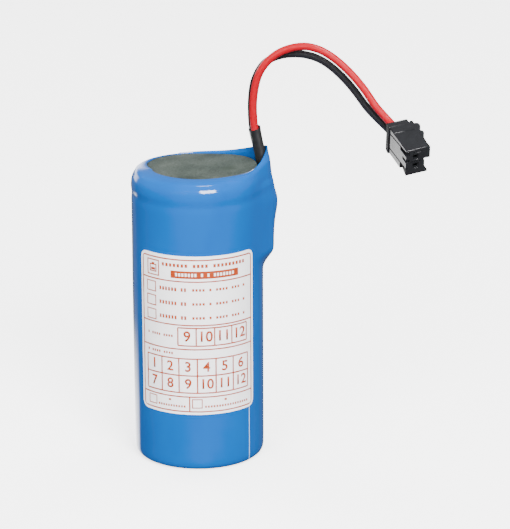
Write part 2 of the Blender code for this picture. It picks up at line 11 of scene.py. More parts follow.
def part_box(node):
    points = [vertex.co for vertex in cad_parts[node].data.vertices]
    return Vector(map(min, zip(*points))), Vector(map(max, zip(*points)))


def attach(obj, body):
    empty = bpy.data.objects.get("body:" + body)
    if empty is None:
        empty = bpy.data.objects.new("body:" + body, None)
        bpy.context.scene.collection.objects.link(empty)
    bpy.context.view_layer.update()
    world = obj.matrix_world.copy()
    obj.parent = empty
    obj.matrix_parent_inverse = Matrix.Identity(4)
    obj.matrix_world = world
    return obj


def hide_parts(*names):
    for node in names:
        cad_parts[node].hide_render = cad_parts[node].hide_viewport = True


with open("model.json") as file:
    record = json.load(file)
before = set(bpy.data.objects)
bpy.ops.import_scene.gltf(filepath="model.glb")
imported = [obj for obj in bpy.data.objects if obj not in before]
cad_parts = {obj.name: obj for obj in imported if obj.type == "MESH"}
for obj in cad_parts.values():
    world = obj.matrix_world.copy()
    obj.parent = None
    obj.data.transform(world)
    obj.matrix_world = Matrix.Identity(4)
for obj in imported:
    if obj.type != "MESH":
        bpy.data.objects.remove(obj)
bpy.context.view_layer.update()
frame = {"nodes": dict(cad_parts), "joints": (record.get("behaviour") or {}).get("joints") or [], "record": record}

MM = 0.001

# The sizes that the pack is built to, in millimetres
SLEEVE_RADIUS = 16.3
FILM = 0.2
BOARD_AZIMUTH = 15.0
BOARD_HALF_WIDTH = 5.2
LIP_HEIGHT = 74.1
FLAP_HEIGHT = 78.2
FLAP_RADIUS = 18.05
LEAD_DIAMETER = 1.9
LEAD_SPACING = 2.06
PLUG_LENGTH = 11.9
PLUG_PITCH = 2.5
LABEL_HALF_ANGLE = 56.25
CREASE_ANGLE = -39.0           # the film's lay-flat crease and the painted highlight along it, in degrees from +X
LEAD_STEP = 0.5                # about how far apart the places along a lead are

RED_ROUTE = [
    (18.43, 3.87, 63.4), (18.41, 3.87, 65.6), (17.74, 3.69, 67.8), (17.17, 3.53, 70.2),
    (16.60, 3.39, 72.8), (15.88, 3.35, 75.6), (15.00, 3.30, 79.4), (14.28, 3.25, 83.2),
    (14.00, 3.15, 86.6), (14.00, 3.05, 89.6), (14.32, 2.95, 92.6), (15.05, 2.8, 95.8),
    (16.35, 2.65, 98.5), (18.15, 2.5, 100.6), (20.6, 2.3, 102.4), (23.4, 2.0, 103.5),
    (26.4, 1.4, 104.0), (29.8, 0.5, 103.5), (33.3, -0.8, 101.8), (36.7, -2.5, 99.2),
    (39.3, -4.2, 96.7), (41.6, -6.1, 94.0), (43.6, -8.2, 91.4),
]
BLACK_ROUTE = [
    (17.90, 5.87, 63.4), (17.88, 5.87, 65.6), (17.21, 5.69, 67.8), (16.64, 5.53, 70.2),
    (16.07, 5.39, 72.8), (15.36, 5.35, 75.6), (14.48, 5.3, 79.4), (13.80, 5.25, 83.0),
    (13.57, 5.2, 86.2), (13.58, 5.15, 89.2), (13.80, 5.1, 92.0), (14.38, 5.05, 94.8),
    (15.5, 4.95, 97.3), (16.9, 4.9, 99.1), (18.7, 4.8, 100.3), (20.9, 4.5, 101.1),
    (23.4, 4.1, 101.5), (26.5, 3.4, 101.5), (29.9, 2.4, 100.7), (33.3, 1.0, 98.8),
    (36.6, -0.9, 96.0), (39.4, -3.2, 93.0), (41.8, -5.7, 90.2),
]


# ---------------- camera, light and floor

def make_camera():
    """A long lens, looking down a little at the label's side."""
    dip = radians(17.591)
    lean = radians(-0.216)
    distance = 0.6957
    target = Vector((0.01427, 0.0, 0.04869))
    focal_length = 189.84
    back = Vector((0.0, -cos(dip), sin(dip)))
    right = Vector((1.0, 0.0, 0.0))
    up = back.cross(right)
    side = cos(lean) * right + sin(lean) * up
    top = cos(lean) * up - sin(lean) * right
    bpy.ops.object.camera_add(location=target + distance * back)
    camera = bpy.context.object
    turn = Matrix((side, top, back)).transposed()
    camera.matrix_world = Matrix.Translation(camera.location) @ turn.to_4x4()
    camera.data.sensor_fit = "AUTO"
    camera.data.sensor_width = 36.0
    camera.data.lens = focal_length
    camera.data.clip_start = 0.01
    bpy.context.scene.camera = camera


def smooth_curve(points, spacing):
    """Evenly spaced points on a natural cubic curve through a route's points."""
    knots = np.array(points, dtype=float)
    gaps = np.linalg.norm(np.diff(knots, axis=0), axis=1)
    at = np.concatenate([[0.0], np.cumsum(gaps)])
    count = len(knots)
    matrix = np.eye(count)
    right = np.zeros((count, 3))
    for i in range(1, count - 1):
        matrix[i, i - 1] = gaps[i - 1]
        matrix[i, i] = 2 * (gaps[i - 1] + gaps[i])
        matrix[i, i + 1] = gaps[i]
        right[i] = 6 * ((knots[i + 1] - knots[i]) / gaps[i]
                        - (knots[i] - knots[i - 1]) / gaps[i - 1])
    bend = np.linalg.solve(matrix, right)
    curve = []
    for place in np.linspace(0.0, at[-1], int(round(at[-1] / spacing)) + 1):
        i = min(int(np.searchsorted(at, place, side="right")) - 1, count - 2)
        a = at[i + 1] - place
        b = place - at[i]
        h = gaps[i]
        curve.append((bend[i] * a ** 3 + bend[i + 1] * b ** 3) / (6 * h)
                     + (knots[i] / h - bend[i] * h / 6) * a
                     + (knots[i + 1] / h - bend[i + 1] * h / 6) * b)
    return curve


def plug_matrix():
    """The plug's own frame: X to its nose, Y to its latch side, Z up, at its rear face."""
    nose = next(m for m in frame["record"]["mounts"] if m["name"] == "plug_nose")
    hinge = next(j for j in frame["joints"] if j["name"] == "latch_press")
    forward = Vector(nose["axis"]).normalized()
    up = Vector(hinge["axis"]).normalized()
    across = up.cross(forward)
    turn = Matrix((forward, across, up)).transposed().to_4x4()
    return Matrix.Translation(Vector(nose["pos_m"]) - forward * PLUG_LENGTH * MM) @ turn


PLUG = plug_matrix()


def lead_places(route, up):
    """A lead's whole line in millimetres, straight into its cavity in the plug at the end."""
    ends = []
    for along in (-2.2, 0.2, 1.4):
        ends.append(tuple(PLUG @ (Vector((along, 0.0, up)) * MM) / MM))
    return smooth_curve(route + ends, LEAD_STEP)


def tube_mesh(name, places, radius, sides):
    """A round tube along a line of places, with its length and its round in a UV map."""
    line = [Vector(place) for place in places]
    bm = bmesh.new()
    layer = bm.loops.layers.uv.new("along")
    rings = []
    lengths = [0.0]
    side = Vector((0.0, 1.0, 0.0))
    for i, place in enumerate(line):
        ahead = line[min(i + 1, len(line) - 1)] - line[max(i - 1, 0)]
        ahead.normalize()
        side = (side - ahead * side.dot(ahead)).normalized()
        other = ahead.cross(side)
        ring = []
        for k in range(sides):
            angle = 2 * pi * k / sides
            reach = side * radius * cos(angle) + other * radius * sin(angle)
            ring.append(bm.verts.new((place + reach) * MM))
        rings.append(ring)
        if i:
            lengths.append(lengths[-1] + (place - line[i - 1]).length)
    for i in range(len(rings) - 1):
        for k in range(sides):
            j = (k + 1) % sides
            face = bm.faces.new((rings[i][k], rings[i][j], rings[i + 1][j], rings[i + 1][k]))
            corners = ((i, k), (i, k + 1), (i + 1, k + 1), (i + 1, k))
            for loop, (row, column) in zip(face.loops, corners):
                loop[layer].uv = (lengths[row] / 10.0, column / sides)
    bm.faces.new(rings[0][::-1])
    bm.faces.new(rings[-1])
    bmesh.ops.recalc_face_normals(bm, faces=bm.faces)
    mesh = bpy.data.meshes.new(name)
    bm.to_mesh(mesh)
    bm.free()
    piece = bpy.data.objects.new(name, mesh)
    bpy.context.scene.collection.objects.link(piece)
    return smooth(piece, 40)


def deselect():
    bpy.ops.object.select_all(action="DESELECT")


def select_only(piece):
    deselect()
    piece.select_set(True)
    bpy.context.view_layer.objects.active = piece


def edit_all():
    """Go into edit mode with the active piece's whole mesh selected."""
    bpy.ops.object.mode_set(mode="EDIT")
    bpy.ops.mesh.select_all(action="SELECT")


def leave_edit():
    bpy.ops.object.mode_set(mode="OBJECT")


def raise_mesh(height):
    """Extrude the selected part of the mesh straight up, by a height in metres."""
    bpy.ops.mesh.extrude_region_move(TRANSFORM_OT_translate={"value": (0, 0, height)})


def settle(piece):
    """Put a finished piece's place into its mesh."""
    select_only(piece)
    bpy.ops.object.transform_apply(location=True, rotation=True, scale=True)
    return piece


def apply_modifiers(piece):
    select_only(piece)
    for modifier in list(piece.modifiers):
        bpy.ops.object.modifier_apply(modifier=modifier.name)
    return piece


def face_out(piece):
    """Merge doubles and turn the faces out."""
    select_only(piece)
    edit_all()
    bpy.ops.mesh.remove_doubles(threshold=0.000001)
    bpy.ops.mesh.normals_make_consistent(inside=False)
    leave_edit()


def give_wall(piece, thickness, offset=-1.0):
    """Give an open shell its wall, on the inside unless told otherwise."""
    wall = piece.modifiers.new("wall", "SOLIDIFY")
    wall.thickness = thickness * MM
    wall.offset = offset
    return apply_modifiers(piece)


def ease_edges(piece, width, sharp):
    """Round a piece's edges that are sharper than an angle in degrees."""
    edges = piece.modifiers.new("eased", "BEVEL")
    edges.width = width * MM
    edges.segments = 3
    edges.limit_method = "ANGLE"
    edges.angle_limit = radians(sharp)
    return apply_modifiers(piece)


def smooth(piece, sharp):
    """Shade a piece smooth, apart from its edges sharper than an angle in degrees."""
    piece.data.shade_smooth()
    piece.data.set_sharp_from_angle(angle=radians(sharp))
    return piece


# ---------------- materials

def finish_nodes(name, colour, roughness, metallic=0.0, **sockets):
    """A Principled material with its constants on the shader's own sockets."""
    material = bpy.data.materials.new(name)
    material.use_nodes = True
    shader = material.node_tree.nodes["Principled BSDF"]
    shader.inputs["Base Color"].default_value = (*colour, 1.0)
    shader.inputs["Roughness"].default_value = roughness
    shader.inputs["Metallic"].default_value = metallic
    for socket, value in sockets.items():
        shader.inputs[socket.replace("_", " ")].default_value = value
    return material, material.node_tree, shader


def object_noise(tree, scale, detail=3.0, stretch=(1.0, 1.0, 1.0), distortion=0.0, uv=None):
    """Noise on object coordinates, or on a UV map, with the wanted grain size."""
    if uv:
        source = tree.nodes.new("ShaderNodeUVMap")
        source.uv_map = uv
        output = source.outputs["UV"]
    else:
        source = tree.nodes.new("ShaderNodeTexCoord")
        output = source.outputs["Object"]
    mapping = tree.nodes.new("ShaderNodeMapping")
    mapping.inputs["Scale"].default_value = stretch
    tree.links.new(output, mapping.inputs["Vector"])
    noise = tree.nodes.new("ShaderNodeTexNoise")
    noise.inputs["Scale"].default_value = scale
    noise.inputs["Detail"].default_value = detail
    noise.inputs["Distortion"].default_value = distortion
    tree.links.new(mapping.outputs["Vector"], noise.inputs["Vector"])
    return noise.outputs["Fac"]


def ramp(tree, fac, low, high, start=0.3, end=0.7):
    """A two-colour ramp over a value."""
    node = tree.nodes.new("ShaderNodeValToRGB")
    node.color_ramp.elements[0].position = start
    node.color_ramp.elements[0].color = (*low, 1.0)
    node.color_ramp.elements[1].position = end
    node.color_ramp.elements[1].color = (*high, 1.0)
    tree.links.new(fac, node.inputs["Fac"])
    return node.outputs["Color"]


def link_or_set(tree, source, socket):
    """Feed a socket from another node's output, or give it a constant."""
    if isinstance(source, bpy.types.NodeSocket):
        tree.links.new(source, socket)
    else:
        socket.default_value = source


def blend(tree, factor, first, second, mode="MIX"):
    """Two colours mixed by a factor."""
    node = tree.nodes.new("ShaderNodeMix")
    node.data_type = "RGBA"
    node.blend_type = mode
    for source, socket in ((factor, "Factor"), (first, "A"), (second, "B")):
        link_or_set(tree, source, node.inputs[socket])
    return node.outputs["Result"]


def worked(tree, operation, *values):
    """One sum on outputs or constants."""
    node = tree.nodes.new("ShaderNodeMath")
    node.operation = operation
    for value, socket in zip(values, node.inputs):
        link_or_set(tree, value, socket)
    return node.outputs["Value"]


def from_place(tree, operation, vector):
    """A sum on the place on the object and a vector."""
    place = tree.nodes.new("ShaderNodeTexCoord")
    node = tree.nodes.new("ShaderNodeVectorMath")
    node.operation = operation
    tree.links.new(place.outputs["Object"], node.inputs[0])
    node.inputs[1].default_value = vector
    return node.outputs["Value"]


def map_range(tree, value, start, end, low, high):
    """A value mapped from start..end to low..high, and held outside it."""
    node = tree.nodes.new("ShaderNodeMapRange")
    node.inputs["From Min"].default_value = start
    node.inputs["From Max"].default_value = end
    node.inputs["To Min"].default_value = low
    node.inputs["To Max"].default_value = high
    tree.links.new(value, node.inputs["Value"])
    return node.outputs["Result"]


def spread(tree, fac, low, high):
    """A noise's usual span mapped to low..high."""
    return map_range(tree, fac, 0.3, 0.7, low, high)


def bumped(tree, shader, fac, depth_mm, strength=1.0, under=None):
    """A bump of that depth from a value, on top of another bump where one is given."""
    node = tree.nodes.new("ShaderNodeBump")
    node.inputs["Distance"].default_value = depth_mm * MM
    node.inputs["Strength"].default_value = strength
    tree.links.new(fac, node.inputs["Height"])
    if under:
        tree.links.new(under, node.inputs["Normal"])
    tree.links.new(node.outputs["Normal"], shader.inputs["Normal"])
    return node.outputs["Normal"]


def plain_finish(name, colour, roughness, metallic=0.0, change=0.25, grain=900.0, depth=0.02,
                 stretch=(1.0, 1.0, 1.0), **sockets):
    """A material with a little uneven colour, gloss and surface from one noise."""
    material, tree, shader = finish_nodes(name, colour, roughness, metallic, **sockets)
    fac = object_noise(tree, grain, stretch=stretch)
    low = tuple(c * (1 - change) for c in colour)
    high = tuple(min(1.0, c * (1 + change)) for c in colour)
    tree.links.new(ramp(tree, fac, low, high), shader.inputs["Base Color"])
    tree.links.new(spread(tree, fac, roughness * 0.85, min(1.0, roughness * 1.15)),
                   shader.inputs["Roughness"])
    bumped(tree, shader, fac, depth)
    return material


def film_finish():
    """Shrunk PVC film: even strong blue, glossy, with a slow ripple and a painted highlight along its two lay-flat
    creases.
    """
    material, tree, shader = finish_nodes("blue_film", (0.0, 0.086, 0.36), 0.15,
                                          Specular_IOR_Level=0.5)
    slow = object_noise(tree, 110.0, detail=2.0, stretch=(1.0, 1.0, 0.45))
    plain = ramp(tree, slow, (0.0, 0.070, 0.295), (0.0, 0.080, 0.325))
    # painted highlight: a pale blue line along the lay-flat crease, low on the film, stands in for light caught on
    # the fold
    turn = radians(CREASE_ANGLE)
    across = worked(tree, "ABSOLUTE", from_place(tree, "DOT_PRODUCT", (sin(turn), -cos(turn), 0.0)))
    height = from_place(tree, "DOT_PRODUCT", (0.0, 0.0, 1.0))
    near = map_range(tree, across, 0.00006, 0.00020, 0.8, 0.0)
    low = map_range(tree, height, 0.0145, 0.0155, 1.0, 0.0)
    painted_crease_highlight = blend(tree, worked(tree, "MULTIPLY", near, low), plain, (0.45, 0.68, 0.90, 1.0))
    tree.links.new(painted_crease_highlight, shader.inputs["Base Color"])
    tree.links.new(spread(tree, slow, 0.08, 0.13), shader.inputs["Roughness"])
    first = bumped(tree, shader, slow, 0.10, 0.55)
    fine = object_noise(tree, 420.0, detail=2.0, stretch=(1.0, 1.0, 0.12))
    bumped(tree, shader, fine, 0.012, 0.5, under=first)
    return material


def paper_finish():
    """Pressed grey-green paper with short fibres and one rubbed spot."""
    material, tree, shader = finish_nodes("fish_paper", (0.056, 0.070, 0.064), 0.85,
                                          Specular_IOR_Level=0.25)
    cloud = object_noise(tree, 160.0, detail=6.0)
    base = ramp(tree, cloud, (0.020, 0.028, 0.024), (0.047, 0.058, 0.050), 0.28, 0.72)
    fibre = object_noise(tree, 1500.0, detail=4.0, stretch=(1.0, 0.35, 1.0), distortion=1.5)
    fibres = ramp(tree, fibre, (0.3, 0.3, 0.3), (0.7, 0.7, 0.7), 0.35, 0.65)
    mottled = blend(tree, 0.5, base, fibres, "OVERLAY")
    far = from_place(tree, "DISTANCE", (0.0078, 0.0004, 0.0734))
    worn = map_range(tree, far, 0.0003, 0.0028, 0.8, 0.0)
    rubbed = blend(tree, worn, mottled, (0.022, 0.032, 0.024, 1.0))
    tree.links.new(rubbed, shader.inputs["Base Color"])
    first = bumped(tree, shader, cloud, 0.12, 0.6)
    bumped(tree, shader, fibre, 0.03, 0.7, under=first)
    return material


def label_finish():
    """Coated label stock, nearly white, with a soft satin."""
    return plain_finish("label_stock", (0.92, 0.92, 0.94), 0.38, change=0.02, grain=500.0,
                        depth=0.01)


def ink_finish(name, colour):
    """Screen-printed ink with slightly uneven cover."""
    return plain_finish(name, colour, 0.45, change=0.12, grain=2600.0, depth=0.004)


def lead_finish(name, colour, mark):
    """Soft lead insulation with faint drawing lines and blotches of wear."""
    material, tree, shader = finish_nodes(name, colour, 0.28, Specular_IOR_Level=0.4)
    drawn = object_noise(tree, 6.0, detail=3.0, stretch=(1.0, 9.0, 1.0), uv="along")
    low = tuple(c * 0.88 for c in colour)
    base = ramp(tree, drawn, low, colour)
    blotch = object_noise(tree, 9.0, detail=4.0, stretch=(1.0, 3.0, 1.0), uv="along")
    worn = ramp(tree, blotch, (0, 0, 0), (0.55, 0.55, 0.55), 0.62, 0.70)
    tree.links.new(blend(tree, worn, base, (*mark, 1.0)), shader.inputs["Base Color"])
    tree.links.new(spread(tree, drawn, 0.24, 0.33), shader.inputs["Roughness"])
    bumped(tree, shader, drawn, 0.02, 0.6)
    return material


def metal_finish(name, colour, roughness, stretch=(1.0, 1.0, 1.0)):
    """Plated metal with fine rolling or drawing lines."""
    return plain_finish(name, colour, roughness, 1.0, change=0.12, grain=1200.0, depth=0.01,
                        stretch=stretch)


def make_finishes():
    """Every finish, by the record's slot name, and the two inks."""
    return {
        "blue_film": film_finish(),
        "label_stock": label_finish(),
        "fish_paper": paper_finish(),
        "drawn_steel": metal_finish("drawn_steel", (0.60, 0.61, 0.62), 0.30, (1.0, 1.0, 0.1)),
        "nickel": metal_finish("nickel", (0.68, 0.67, 0.63), 0.26, (0.15, 1.0, 1.0)),
        "white_plastic": plain_finish("white_plastic", (0.80, 0.80, 0.77), 0.45, change=0.04),
        "electrode_black": plain_finish("electrode_black", (0.035, 0.035, 0.04), 0.75, change=0.4,
                                        grain=2500.0),
        "graphite": plain_finish("graphite", (0.10, 0.085, 0.08), 0.6, 0.2, change=0.3,
                                 grain=2500.0),
        "separator": plain_finish("separator", (0.85, 0.85, 0.83), 0.5, change=0.03),
        "amber_tape": plain_finish("amber_tape", (0.62, 0.50, 0.20), 0.3, change=0.08, grain=300.0),
        "aluminium_tab": metal_finish("aluminium_tab", (0.76, 0.77, 0.78), 0.35, (1.0, 1.0, 0.1)),
        "board_green": plain_finish("board_green", (0.015, 0.17, 0.07), 0.35, change=0.35,
                                    grain=700.0, depth=0.03, Coat_Weight=0.4),
        "chip_black": plain_finish("chip_black", (0.018, 0.018, 0.02), 0.5, change=0.3,
                                   grain=3000.0),
        "capacitor_tan": plain_finish("capacitor_tan", (0.42, 0.29, 0.17), 0.4, change=0.1,
                                      grain=2500.0),
        "solder": metal_finish("solder", (0.70, 0.70, 0.69), 0.25),
        "red_insulation": lead_finish("red_insulation", (0.34, 0.001, 0.009), (0.12, 0.001, 0.003)),
        "black_insulation": lead_finish("black_insulation", (0.010, 0.010, 0.012),
                                        (0.03, 0.03, 0.034)),
        "shrink_black": plain_finish("shrink_black", (0.012, 0.012, 0.013), 0.45, change=0.2,
                                     Specular_IOR_Level=0.4),
        "plug_black": plain_finish("plug_black", (0.010, 0.0105, 0.012), 0.2, change=0.1,
                                   grain=600.0, depth=0.004),
        "tin_plate": metal_finish("tin_plate", (0.74, 0.70, 0.60), 0.28, (1.0, 1.0, 0.2)),
        "orange_ink": ink_finish("orange_ink", (0.30, 0.034, 0.002)),
        "white_ink": ink_finish("white_ink", (0.86, 0.86, 0.86)),
    }


def dress(piece, material, body="root"):
    """Give a new piece its finish and its body."""
    piece.data.materials.clear()
    piece.data.materials.append(material)
    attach(piece, body)


# ---------------- the shrunk film

# How far the film stands from the axis over the leads and joints, and at the board's edges, in mm
BUMP_REACH = [(47.2, 16.3), (52.3, 19.0), (57.0, 19.1), (60.0, 19.4), (63.4, 20.1), (65.6, 20.1),
              (67.8, 19.4), (70.2, 18.95), (72.5, 18.6), (74.0, 18.55), (76.0, 18.4), (78.2, 18.05)]
EDGE_REACH = [(47.2, 16.3), (52.3, 18.2), (65.6, 18.2), (69.0, 17.5), (78.2, 17.2)]
BUMP_HALF_WIDTH = 2.7
BULGE_FOOT = BUMP_REACH[0][0]
BULGE_RISE = 5.1               # height over which the bulge comes to its full width
TABLE_TURN = 0.75              # the film table's steps, in degrees round and in mm up
TABLE_RISE = 0.25
BEAD_HEIGHT = 68.0             # the can's beaded groove under the film
CREASE_TOP = 15.0              # the lay-flat crease shows up to here


def turn_from_board(angle):
    """Degrees round from the board's middle, -180 to 180."""
    return (angle - BOARD_AZIMUTH + 180.0) % 360.0 - 180.0


def stretched_radius(off, height):
    """The film's radius where it is pulled straight over the board's edge and the leads."""
    radius = SLEEVE_RADIUS
    if height <= BULGE_FOOT:
        return radius
    bump = float(np.interp(height, *zip(*BUMP_REACH)))
    edge = float(np.interp(height, *zip(*EDGE_REACH)))
    share = min(1.0, (height - BULGE_FOOT) / BULGE_RISE)
    corner = (edge, BOARD_HALF_WIDTH * share)
    reach = hypot(*corner)
    tangent = atan2(corner[1], corner[0]) + float(np.arccos(min(1.0, SLEEVE_RADIUS / reach)))
    outline = [(bump, 0.0), (bump, BUMP_HALF_WIDTH * share), corner,
               (SLEEVE_RADIUS * cos(tangent), SLEEVE_RADIUS * sin(tangent))]
    ray = (cos(radians(abs(off))), sin(radians(abs(off))))
    for (x0, y0), (x1, y1) in zip(outline, outline[1:]):
        across = (x1 - x0) * ray[1] - (y1 - y0) * ray[0]
        if abs(across) < 1e-9:
            continue
        along = (y0 * ray[0] - x0 * ray[1]) / across
        meet = (x0 + along * (x1 - x0), y0 + along * (y1 - y0))
        if meet[0] * ray[0] + meet[1] * ray[1] > 0 and -1e-6 <= along <= 1.0 + 1e-6:
            radius = max(radius, hypot(*meet))
    return radius


class FilmTable:
    """The stretched radius on a fine grid, with its corners eased as film eases them."""

    def __init__(self):
        self.turns = np.arange(-90.0, 90.01, TABLE_TURN)
        self.heights = np.arange(44.0, 79.01, TABLE_RISE)
        raw = np.array([[stretched_radius(off, height) for height in self.heights]
                        for off in self.turns])
        for _ in range(3):
            raw = self.eased(raw, 5, 0)
            raw = self.eased(raw, 5, 1)
        self.radius = raw

    @staticmethod
    def eased(grid, width, axis):
        """A running mean along one axis, with its ends held."""
        pad = [(0, 0), (0, 0)]
        pad[axis] = (width // 2, width // 2)
        held = np.pad(grid, pad, mode="edge")
        total = sum(np.take(held, range(k, k + grid.shape[axis]), axis=axis) for k in range(width))
        return total / width

    def read(self, off, height):
        """The eased radius at one place."""
        if abs(off) >= 89.0 or height <= self.heights[0]:
            return SLEEVE_RADIUS
        i = (off - self.turns[0]) / TABLE_TURN
        j = min((height - self.heights[0]) / TABLE_RISE, len(self.heights) - 1.001)
        a, b = int(i), int(j)
        u, v = i - a, j - b
        grid = self.radius
        return float((1 - u) * ((1 - v) * grid[a, b] + v * grid[a, b + 1])
                     + u * ((1 - v) * grid[a + 1, b] + v * grid[a + 1, b + 1]))


FILM_TABLE = FilmTable()


def bell(value, width):
    """A smooth hump, 1 at nought and fading out over a width."""
    return exp(-(value / width) ** 2)


def film_radius(angle, height):
    """The sleeve's outer radius with its small features: bead groove, strip ridge and crease."""
    off = turn_from_board(angle)
    radius = FILM_TABLE.read(off, height)
    radius += 0.22 * bell(off, 9.0) * (1.0 if height < 50.0 else bell(height - 50.0, 2.0))
    bare = 1.0 - bell(off, 42.0)
    radius -= 0.14 * bare * bell(height - BEAD_HEIGHT, 0.9)
    radius += 0.05 * bare * bell(height - BEAD_HEIGHT - 2.2, 1.2)
    crease = bell((angle - CREASE_ANGLE + 90.0) % 180.0 - 90.0, 1.0)
    low = 1.0 if height < CREASE_TOP else bell(height - CREASE_TOP, 4.0)
    radius += 0.10 * crease * low
    radius += 0.035 * sin(radians(3 * angle) + height * 0.11) * bell(height - 40.0, 26.0) * bare
    return radius


def far_share(angle):
    """How far the lip is drawn flat and narrow, 0 at the front to 1 at the back."""
    off = turn_from_board(angle)
    turn = off if off > -100.0 else off + 360.0
    return max(0.0, sin(pi * (turn + 10.0) / 185.0)) if -10.0 < turn < 175.0 else 0.0


def lip_edge(angle):
    """Radius and height of the lip's cut edge: a teardrop that rises to the leads."""
    off = turn_from_board(angle)
    back = far_share(angle)
    base = 11.4 - 0.2 * bell(off - 170.0, 40.0) + 4.0 * back
    radius = base + (FLAP_RADIUS - base) * exp(-(abs(off) / 40.0) ** 1.4)
    rise = exp(-(off / 38.0) ** 1.5) if off > 0 else bell(off, 22.0)
    height = LIP_HEIGHT - 0.72 * back + (FLAP_HEIGHT - LIP_HEIGHT) * rise
    height += 0.03 * sin(radians(5 * angle))
    return radius, height


def film_profile(angle):
    """The film's outer line from the bottom lip, up the side and over to the top lip's edge."""
    off = turn_from_board(angle)
    ridge = film_radius(angle, 1.9) - SLEEVE_RADIUS
    pucker = 0.05 * sin(radians(17 * angle)) + 0.04 * sin(radians(29 * angle + 60))
    line = [(11.7 + pucker, 0.0), (13.3, 0.02 + 0.4 * abs(pucker)), (14.9, 0.03),
            (15.5 + ridge / 3, 0.16), (15.95 + ridge / 2, 0.55), (16.2 + ridge, 1.1),
            (16.28 + ridge, 1.7)]
    heights = [2.6, 5.0, 9.0, 13.0, 15.5, 18.0, 22.0, 27.0, 32.0, 37.0, 41.0, 44.0, 46.0]
    heights += [47.0 + 0.5 * k for k in range(16)]
    heights += [55.0 + 0.6 * k for k in range(26)]
    line += [(film_radius(angle, height), height) for height in heights]
    flap = bell(off, 36.0)
    far = far_share(angle)
    edge_radius, edge_height = lip_edge(angle)
    shoulder = ((16.28, 70.6), (16.22, 71.2), (16.1, 71.7), (15.93, 72.15), (15.72, 72.55),
                (15.5 + 0.05 * far, 72.88 - 0.05 * far), (15.36 + 0.08 * far, 73.15 - 0.1 * far),
                (15.05 + 0.4 * far, 73.5 - 0.2 * far), (14.5 + 0.95 * far, 73.75 - 0.27 * far))
    for k, (radius, height) in enumerate(shoulder):
        raised = height + flap * (0.15 + 0.24 * k)
        wall = film_radius(angle, raised) - 0.02 * k
        line.append((radius + flap * (wall - radius), raised))
    last_radius, last_height = line[-1]
    steps = 8
    for k in range(1, steps + 1):
        part = k / steps
        crown = 0.10 * (1 - flap) * (1 - far) * sin(pi * part)
        line.append((last_radius + (edge_radius - last_radius) * part,
                     last_height + (edge_height - last_height) * part + crown))
    return line


def make_sleeve(finishes):
    """The sleeve: a ring drawn up into a tube, shaped to the film's line, then given its wall."""
    piece = drawn_ring("film_sleeve", SLEEVE_RADIUS, 360, len(film_profile(0.0)))
    profiles = {}
    for vert in piece.data.vertices:
        angle = round(degrees(atan2(vert.co.y, vert.co.x)), 4)
        if angle not in profiles:
            profiles[angle] = film_profile(angle)
        radius, height = profiles[angle][round(vert.co.z / MM)]
        vert.co = Vector((radius * cos(radians(angle)), radius * sin(radians(angle)), height)) * MM
    give_wall(piece, FILM)
    smooth(piece, 50)
    dress(piece, finishes["blue_film"])
    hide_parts("outer_sleeve")


# ---------------- the label and its print

LABEL_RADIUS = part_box("label")[0][1] / -MM     # how far the label stands out at its front
LABEL_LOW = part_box("label")[0][2] / MM
LABEL_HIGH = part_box("label")[1][2] / MM
PAPER = 0.08                   # thickness of the label
INK = 0.015                    # thickness of the ink
LINE = 0.33                    # width of the printed lines
PRINT_HALF = 15.25             # half width of the printed border, along the round
SLICE_REACH = 17               # how far to either side flat pieces are sliced
BLOCK_SHARE = 0.62             # share of a printed block in its pitch
CORNER = 0.8                   # radius of the border's round corners


def wrap(piece, radius):
    """Roll a flat piece in the XZ plane round the front of the sleeve, lengths kept."""
    for vert in piece.data.vertices:
        across = vert.co.x
        lift = -vert.co.y
        angle = across / (LABEL_RADIUS * MM) - pi / 2
        reach = radius * MM + lift
        vert.co = Vector((reach * cos(angle), reach * sin(angle), vert.co.z))


def slice_upright(step):
    """Cut the selected flat mesh at even steps across, so that it can follow the round."""
    for k in range(int(-SLICE_REACH / step), int(SLICE_REACH / step) + 1):
        bpy.ops.mesh.select_all(action="SELECT")
        bpy.ops.mesh.bisect(plane_co=(k * step * MM, 0, 0), plane_no=(1, 0, 0))


def make_label(finishes):
    """The label: a flat sheet with round corners, rolled round the sleeve."""
    deselect()
    half = radians(LABEL_HALF_ANGLE) * LABEL_RADIUS
    bpy.ops.mesh.primitive_plane_add(size=1.0, rotation=(pi / 2, 0, 0),
                                     location=(0, 0, (LABEL_LOW + LABEL_HIGH) / 2 * MM))
    piece = bpy.context.object
    piece.name = "paper_label"
    piece.scale = (2 * half * MM, (LABEL_HIGH - LABEL_LOW) * MM, 1.0)
    settle(piece)
    edit_all()
    bpy.ops.mesh.bevel(offset=1.9 * MM, segments=8, affect="VERTICES")
    slice_upright(0.5)
    leave_edit()
    wrap(piece, LABEL_RADIUS - PAPER)
    give_wall(piece, PAPER, offset=1.0)
    face_out(piece)
    smooth(piece, 40)
    dress(piece, finishes["label_stock"])
    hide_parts("label")


